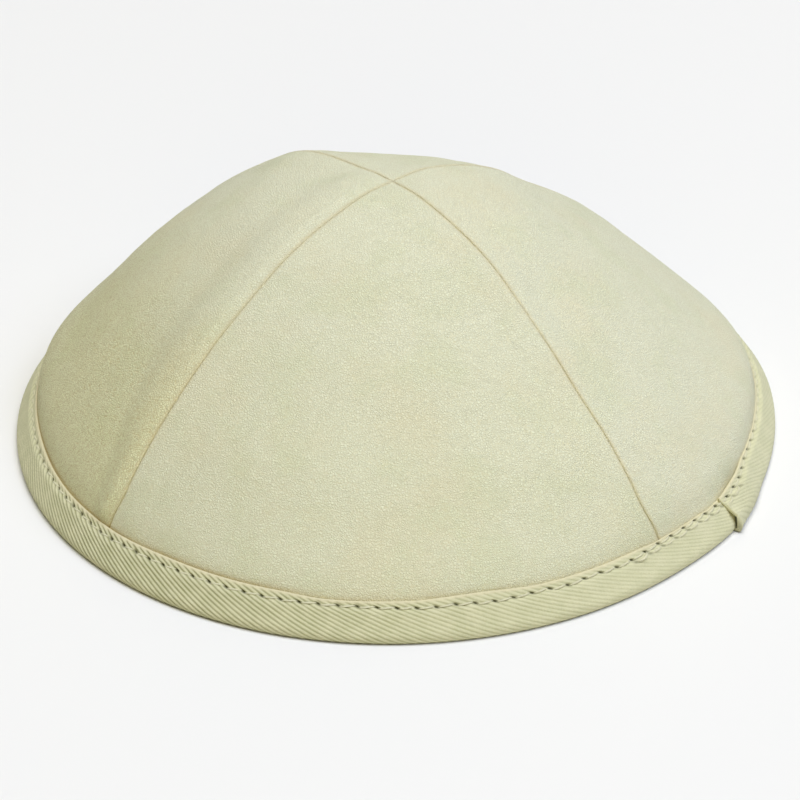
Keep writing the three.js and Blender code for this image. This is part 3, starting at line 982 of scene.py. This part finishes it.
def stitch_runs(form, inside):
    """The runs of the first row, and outside also those of the second, whose first one is slack."""
    holes = hole_azimuths(form)
    closed = np.append(holes, holes[0] + FULL_TURN)
    wobbles = np.random.default_rng(STITCH_SEED).uniform(-1, 1, len(holes) + SECOND_STITCHES)
    runs = [
        stitch_run(form, start, end, 0.0, inside, wobble)
        for start, end, wobble in zip(closed[:-1], closed[1:], wobbles)
    ]
    if not inside:
        second = second_hole_azimuths()
        for start, end, wobble in zip(second[:-1], second[1:], wobbles[len(holes):]):
            runs.append(stitch_run(form, start, end, SECOND_DROP, inside, wobble))
        slack = runs[len(holes)]
        slack["width"] *= SLACK_WIDTH
        slack["up"] += SLACK_RISE
        slack.update(SLACK_FORM)
    return runs


def add_node(tree, kind, inputs=None, **properties):
    """Adds a node, sets its properties, and gives each named input a value or a link."""
    made = tree.nodes.new(kind)
    for name, value in properties.items():
        setattr(made, name, value)
    for name, value in (inputs or {}).items():
        if isinstance(value, bpy.types.NodeSocket):
            tree.links.new(value, made.inputs[name])
        else:
            made.inputs[name].default_value = value
    return made


def math_node(tree, operation, *values):
    """A Math node's result."""
    return add_node(tree, "ShaderNodeMath", dict(enumerate(values)), operation=operation).outputs[0]


def vector_node(tree, operation, inputs):
    """A Vector Math node's result."""
    return add_node(tree, "ShaderNodeVectorMath", inputs, operation=operation).outputs[0]


def mix_colours(tree, factor, first, second):
    """A colour between two."""
    made = add_node(tree, "ShaderNodeMix", {0: factor, 6: first, 7: second}, data_type="RGBA")
    return made.outputs[2]


def layered(tree, ground, layers):
    """A colour with others laid over it in turn, each by its own mask."""
    colour_now = rgba(ground)
    for mask, laid in layers:
        colour_now = mix_colours(tree, mask, colour_now, rgba(laid))
    return colour_now


def ramp(tree, value, low, high, to_low=0.0, to_high=1.0):
    """A value carried from one range to another, evenly and kept within it."""
    made = add_node(
        tree, "ShaderNodeMapRange",
        {"Value": value, "From Min": low, "From Max": high, "To Min": to_low, "To Max": to_high},
        interpolation_type="SMOOTHSTEP",
    )
    return made.outputs["Result"]


def rgba(value):
    """A colour with full opacity."""
    return (*value, 1.0)


def new_group(name, inputs, outputs):
    """An empty shader node group with these sockets."""
    group = bpy.data.node_groups.new(name, "ShaderNodeTree")
    for socket, kind, value in inputs:
        made = group.interface.new_socket(socket, in_out="INPUT", socket_type=kind)
        if value is not None:
            made.default_value = value
    for socket, kind in outputs:
        group.interface.new_socket(socket, in_out="OUTPUT", socket_type=kind)
    return group, group.nodes.new("NodeGroupInput"), group.nodes.new("NodeGroupOutput")


def blotch_group():
    """A mask of soft blotches, for the uneven colour of cloth."""
    group, given, result = new_group(
        "cloth_blotches",
        [("Vector", "NodeSocketVector", None), ("Scale", "NodeSocketFloat", 50.0),
         ("Low", "NodeSocketFloat", 0.4), ("High", "NodeSocketFloat", 0.6)],
        [("Mask", "NodeSocketFloat")],
    )
    vector, scale = given.outputs["Vector"], given.outputs["Scale"]
    broad = add_node(
        group, "ShaderNodeTexNoise", {"Vector": vector, "Scale": scale, "Detail": 4.0, "Roughness": 0.6},
    )
    mask = ramp(group, broad.outputs["Fac"], given.outputs["Low"], given.outputs["High"])
    group.links.new(mask, result.inputs["Mask"])
    return group


def pebble_group():
    """The fine pebbled grain of pressed suede: a height, and a mask of the grooves between pebbles."""
    group, given, result = new_group(
        "pebble_grain",
        [("Vector", "NodeSocketVector", None), ("Scale", "NodeSocketFloat", 1000.0)],
        [("Height", "NodeSocketFloat"), ("Groove", "NodeSocketFloat")],
    )
    vector, scale = given.outputs["Vector"], given.outputs["Scale"]
    wander = add_node(
        group, "ShaderNodeTexNoise", {"Vector": vector, "Scale": math_node(group, "MULTIPLY", scale, 0.7)},
    )
    shift = vector_node(group, "SUBTRACT", {0: wander.outputs["Color"], 1: (0.5, 0.5, 0.5)})
    moved = vector_node(group, "SCALE", {0: shift, "Scale": math_node(group, "DIVIDE", 1.3, scale)})
    bent = vector_node(group, "ADD", {0: vector, 1: moved})
    cells = add_node(
        group, "ShaderNodeTexVoronoi", {"Vector": bent, "Scale": scale}, feature="DISTANCE_TO_EDGE",
    )
    finer = math_node(group, "MULTIPLY", scale, 1.7)
    fine = add_node(
        group, "ShaderNodeTexNoise", {"Vector": vector, "Scale": finer, "Detail": 3.0, "Roughness": 0.65},
    )
    pebble = ramp(group, cells.outputs["Distance"], 0.0, 0.28)
    some_pebble = math_node(group, "MULTIPLY", pebble, 0.6)
    height = math_node(group, "ADD", some_pebble, math_node(group, "MULTIPLY", fine.outputs["Fac"], 0.9))
    groove = ramp(group, cells.outputs["Distance"], 0.0, 0.12, 1.0, 0.0)
    group.links.new(height, result.inputs["Height"])
    group.links.new(groove, result.inputs["Groove"])
    return group


def blotches(tree, groups, place, scale, low, high):
    """A mask of soft blotches of this fineness, in a material."""
    inputs = {"Vector": place, "Scale": scale, "Low": low, "High": high}
    made = add_node(tree, "ShaderNodeGroup", inputs, node_tree=groups["cloth_blotches"])
    return made.outputs["Mask"]


def new_material(name, settings):
    """A material with a Principled shader whose constant sockets are set directly."""
    material = bpy.data.materials.new(name)
    material.use_nodes = True
    tree = material.node_tree
    shader = tree.nodes["Principled BSDF"]
    for socket, value in settings.items():
        shader.inputs[socket].default_value = value
    return material, tree, shader


def attribute(tree, name):
    """One of the piece's own numbers."""
    return add_node(tree, "ShaderNodeAttribute", attribute_name=name).outputs["Fac"]


def finish_material(tree, shader, colour_now, height, distance, strength=1.0, invert=False):
    """Gives the shader its colour, and a relief of at most this distance."""
    inputs = {"Height": height, "Distance": distance, "Strength": strength}
    bump = add_node(tree, "ShaderNodeBump", inputs, invert=invert)
    tree.links.new(colour_now, shader.inputs["Base Color"])
    tree.links.new(bump.outputs["Normal"], shader.inputs["Normal"])


def suede_material(colours, groups):
    """Cream faux suede: blotched, pebbled and matt, with painted shade low on the left and at the tape."""
    material, tree, shader = new_material(
        "cream_suede",
        {"Roughness": 0.9, "Specular IOR Level": 0.1, "Sheen Weight": 0.06, "Sheen Roughness": 0.5},
    )
    place = add_node(tree, "ShaderNodeTexCoord").outputs["Object"]
    shadowed = attribute(tree, "shadowed")
    grain = add_node(
        tree, "ShaderNodeGroup", {"Vector": place, "Scale": 1900.0}, node_tree=groups["pebble_grain"],
    )
    tan = math_node(tree, "MULTIPLY", blotches(tree, groups, place, 42.0, 0.44, 0.68), 0.5)
    green = math_node(tree, "MULTIPLY", blotches(tree, groups, place, 75.0, 0.45, 0.7), 0.6)
    # A fine mottle and darker pebble grooves: painted shade that stands in for the grain's shading, both
    # stronger low on the left.
    speckle_share = ramp(tree, shadowed, 0.0, 1.0, 0.04, 0.12)
    speckle = math_node(tree, "MULTIPLY", blotches(tree, groups, place, 620.0, 0.4, 0.68), speckle_share)
    groove_share = ramp(tree, shadowed, 0.0, 1.0, 0.26, 0.6)
    layers = (
        (tan, colours.suede_tan),
        (green, colours.suede_green),
        # Painted shade, low on the left.
        (math_node(tree, "MULTIPLY", shadowed, 0.35), colours.suede_shadowed),
        (speckle, colours.hem_shade),
        (math_node(tree, "MULTIPLY", grain.outputs["Groove"], groove_share), colours.hem_shade),
        (ramp(tree, attribute(tree, "from_seam"), 0.2, 1.1, 0.38, 0.0), colours.seam_tint),
        # Painted shade where the suede meets the tape.
        (attribute(tree, "hem"), colours.hem_shade),
        (attribute(tree, "inside"), colours.suede_back),
    )
    colour_now = layered(tree, colours.suede_light, layers)
    finish_material(tree, shader, colour_now, grain.outputs["Height"], 0.17 * MM)
    return material


def twill_material(colours, groups):
    """Cotton twill: pale ribs with painted shade between them, and the short yarns that cross each rib."""
    material, tree, shader = new_material(
        "cream_twill",
        {"Roughness": 0.85, "Specular IOR Level": 0.12, "Sheen Weight": 0.05, "Sheen Roughness": 0.5},
    )
    place = add_node(tree, "ShaderNodeTexCoord").outputs["Object"]
    weave = add_node(tree, "ShaderNodeUVMap", uv_map="weave").outputs["UV"]
    stretched = add_node(tree, "ShaderNodeMapping", {"Vector": weave, "Scale": (1.6, 2.4, 1.0)})
    yarns = add_node(tree, "ShaderNodeTexVoronoi", {"Vector": stretched.outputs[0], "Scale": 1.0})
    layers = (
        # Painted shade in the grooves between the ribs.
        (attribute(tree, "groove"), colours.painted_groove_shade),
        (math_node(tree, "MULTIPLY", blotches(tree, groups, place, 260.0, 0.35, 0.7), 0.25), colours.suede_tan),
        # Painted highlight on the rolled upper edge.
        (math_node(tree, "MULTIPLY", attribute(tree, "edge"), 0.6), colours.twill_edge_highlight),
        # Painted shade in the needle holes and painted contact shadow at the table.
        (math_node(tree, "MAXIMUM", attribute(tree, "pit"), attribute(tree, "contact")), colours.hole),
    )
    colour_now = layered(tree, colours.twill_light, layers)
    finish_material(tree, shader, colour_now, yarns.outputs["Distance"], 0.06 * MM, invert=True)
    return material


def thread_material(colours):
    """Twisted cream thread, with painted shade along its twist."""
    material, tree, shader = new_material(
        "cream_thread",
        {"Roughness": 0.6, "Specular IOR Level": 0.4, "Sheen Weight": 0.2, "Sheen Roughness": 0.4},
    )
    strands = add_node(tree, "ShaderNodeUVMap", uv_map="thread").outputs["UV"]
    turned = add_node(tree, "ShaderNodeMapping", {"Vector": strands, "Rotation": (0.0, 0.0, 0.6)})
    wave_inputs = {"Vector": turned.outputs[0], "Scale": 0.5, "Distortion": 0.6}
    twist = add_node(tree, "ShaderNodeTexWave", wave_inputs).outputs["Fac"]
    # Painted shade along the thread's twist.
    shade = math_node(tree, "MULTIPLY", twist, 0.15)
    colour_now = layered(tree, colours.thread, [(shade, colours.painted_groove_shade)])
    finish_material(tree, shader, colour_now, twist, 0.05 * MM, strength=0.8, invert=True)
    return material


def table_material(colours):
    """Plain white paper."""
    material, _, shader = new_material("white_paper", {"Roughness": 0.9, "Specular IOR Level": 0.1})
    shader.inputs["Base Color"].default_value = rgba(colours.table)
    return material


def shared_groups():
    """The node groups that the materials share, built once."""
    makers = {"cloth_blotches": blotch_group, "pebble_grain": pebble_group}
    return {name: bpy.data.node_groups.get(name) or maker() for name, maker in makers.items()}


# The camera, fitted to the outline, the seams and the tape in the photograph.
CAMERA_AZIMUTH = math.radians(3.0)
CAMERA_ELEVATION = math.radians(32.62)
CAMERA_ROLL = math.radians(0.554)
CAMERA_DISTANCE = 676.25 * MM
CAMERA_LENS = 127.26
SENSOR_WIDTH = 36.0
AIM_ASIDE = 1.2366 * MM
AIM_HEIGHT = 4.67 * MM

# The lights: azimuth, elevation and distance from the cap, size across, power and colour.
LIGHT_COLUMNS = ("name", "azimuth", "elevation", "distance", "size", "power", "colour")
LIGHTS = (
    ("overhead", 0.0, 89.0, 4.0, 2.8, 106.0, (1.0, 1.0, 1.03)),
    ("right", 68.0, 55.0, 4.0, 2.8, 67.0, (0.87, 0.94, 1.2)),
    ("front", 0.0, 25.0, 4.0, 2.8, 32.0, (1.13, 1.0, 0.5)),
    ("back", 175.0, 40.0, 4.0, 2.8, 24.0, (1.1, 1.0, 0.6)),
)
WORLD_COLOUR = (1.0, 1.0, 1.0)
WORLD_STRENGTH = 0.04
TABLE_SIZE = 4.0


def direction(azimuth, elevation):
    """From the cap towards a place, by azimuth and elevation."""
    level = math.cos(elevation)
    return Vector((math.sin(azimuth) * level, -math.cos(azimuth) * level, math.sin(elevation)))


def turned_object(name, data, right, up, back, place):
    """An object that looks along -back, with these directions to its right and above it."""
    made = bpy.data.objects.new(name, data)
    turn = Matrix((right, up, back)).transposed().to_4x4()
    made.matrix_world = Matrix.Translation(place) @ turn
    bpy.context.scene.collection.objects.link(made)
    return made


def add_camera():
    """The camera, at the photograph's angle."""
    back = direction(CAMERA_AZIMUTH, CAMERA_ELEVATION)
    level = Vector((math.cos(CAMERA_AZIMUTH), math.sin(CAMERA_AZIMUTH), 0.0))
    upright = back.cross(level)
    right = level * math.cos(CAMERA_ROLL) - upright * math.sin(CAMERA_ROLL)
    up = level * math.sin(CAMERA_ROLL) + upright * math.cos(CAMERA_ROLL)
    aim = level * AIM_ASIDE + Vector((0.0, 0.0, AIM_HEIGHT))
    lens = bpy.data.cameras.new("camera")
    lens.lens = CAMERA_LENS
    lens.sensor_fit = "HORIZONTAL"
    lens.sensor_width = SENSOR_WIDTH
    camera = turned_object("camera", lens, right, up, back, aim + back * CAMERA_DISTANCE)
    bpy.context.scene.camera = camera


def add_lights():
    """Large soft lights and a pale surround."""
    for values in LIGHTS:
        light = dict(zip(LIGHT_COLUMNS, values))
        lamp = bpy.data.lights.new("light_" + light["name"], "AREA")
        lamp.shape = "DISK"
        lamp.size = light["size"]
        lamp.energy = light["power"]
        lamp.color = light["colour"]
        back = direction(math.radians(light["azimuth"]), math.radians(light["elevation"]))
        right = Vector((0.0, 0.0, 1.0)).cross(back).normalized()
        turned_object(lamp.name, lamp, right, back.cross(right), back, back * light["distance"])
    world = bpy.data.worlds.new("pale_surround")
    world.use_nodes = True
    background = world.node_tree.nodes["Background"]
    background.inputs["Color"].default_value = rgba(WORLD_COLOUR)
    background.inputs["Strength"].default_value = WORLD_STRENGTH
    bpy.context.scene.world = world


def add_table(colours):
    """The floor, which isn't part of the cap."""
    bm = bmesh.new()
    bmesh.ops.create_grid(bm, x_segments=1, y_segments=1, size=TABLE_SIZE)
    mesh = bpy.data.meshes.new("table")
    bm.to_mesh(mesh)
    bm.free()
    mesh.materials.append(table_material(colours))
    table = bpy.data.objects.new("table", mesh)
    bpy.context.scene.collection.objects.link(table)


class SKULLCAP_OT_stage(bpy.types.Operator):
    """Set the camera, the lights and the table"""

    bl_idname = "skullcap.stage"
    bl_label = "Stage"

    def execute(self, context):
        context.scene.view_settings.view_transform = "Standard"
        add_camera()
        add_lights()
        add_table(context.scene.skullcap_colours)
        return {"FINISHED"}


class SKULLCAP_OT_suede_panels(bpy.types.Operator):
    """Make the four suede panels with their seams and allowances"""

    bl_idname = "skullcap.suede_panels"
    bl_label = "Suede Panels"

    def execute(self, context):
        form = CapForm(context.scene)
        material = suede_material(context.scene.skullcap_colours, shared_groups())
        for values in PANELS:
            suede_panel(form, dict(zip(PANEL_COLUMNS, values)), material)
        return {"FINISHED"}


class SKULLCAP_OT_rim_tape(bpy.types.Operator):
    """Make the folded twill tape round the rim"""

    bl_idname = "skullcap.rim_tape"
    bl_label = "Rim Tape"

    def execute(self, context):
        form = CapForm(context.scene)
        twill_tape(form, twill_material(context.scene.skullcap_colours, shared_groups()))
        return {"FINISHED"}


class SKULLCAP_OT_topstitching(bpy.types.Operator):
    """Make the topstitching on both sides of the tape"""

    bl_idname = "skullcap.topstitching"
    bl_label = "Topstitching"

    def execute(self, context):
        form = CapForm(context.scene)
        material = thread_material(context.scene.skullcap_colours)
        thread_piece(form, "topstitch_outside", stitch_runs(form, inside=False), material)
        thread_piece(form, "topstitch_inside", stitch_runs(form, inside=True), material)
        return {"FINISHED"}


OPERATORS = (
    SKULLCAP_OT_stage,
    SKULLCAP_OT_suede_panels,
    SKULLCAP_OT_rim_tape,
    SKULLCAP_OT_topstitching,
)


class SKULLCAP_PT_panel(bpy.types.Panel):
    """Lists the steps that dress the skullcap"""

    bl_label = "Skullcap"
    bl_idname = "SKULLCAP_PT_panel"
    bl_space_type = "VIEW_3D"
    bl_region_type = "UI"
    bl_category = "Skullcap"

    def draw(self, context):
        for operator in OPERATORS:
            self.layout.operator(operator.bl_idname)


CLASSES = (CapSizes, TapeSizes, CapColours, *OPERATORS, SKULLCAP_PT_panel)


def register():
    """Registers the classes and gives the scene its sizes and colours."""
    for entry in CLASSES:
        bpy.utils.register_class(entry)
    bpy.types.Scene.skullcap_cap = PointerProperty(type=CapSizes)
    bpy.types.Scene.skullcap_tape = PointerProperty(type=TapeSizes)
    bpy.types.Scene.skullcap_colours = PointerProperty(type=CapColours)


def unregister():
    """Takes away what register added."""
    del bpy.types.Scene.skullcap_colours
    del bpy.types.Scene.skullcap_tape
    del bpy.types.Scene.skullcap_cap
    for entry in reversed(CLASSES):
        bpy.utils.unregister_class(entry)


def main():
    """Registers the add-on, then sets the stage and dresses the cap."""
    register()
    bpy.ops.skullcap.stage()
    bpy.ops.skullcap.suede_panels()
    bpy.ops.skullcap.rim_tape()
    bpy.ops.skullcap.topstitching()


if __name__ == "__main__":
    main()
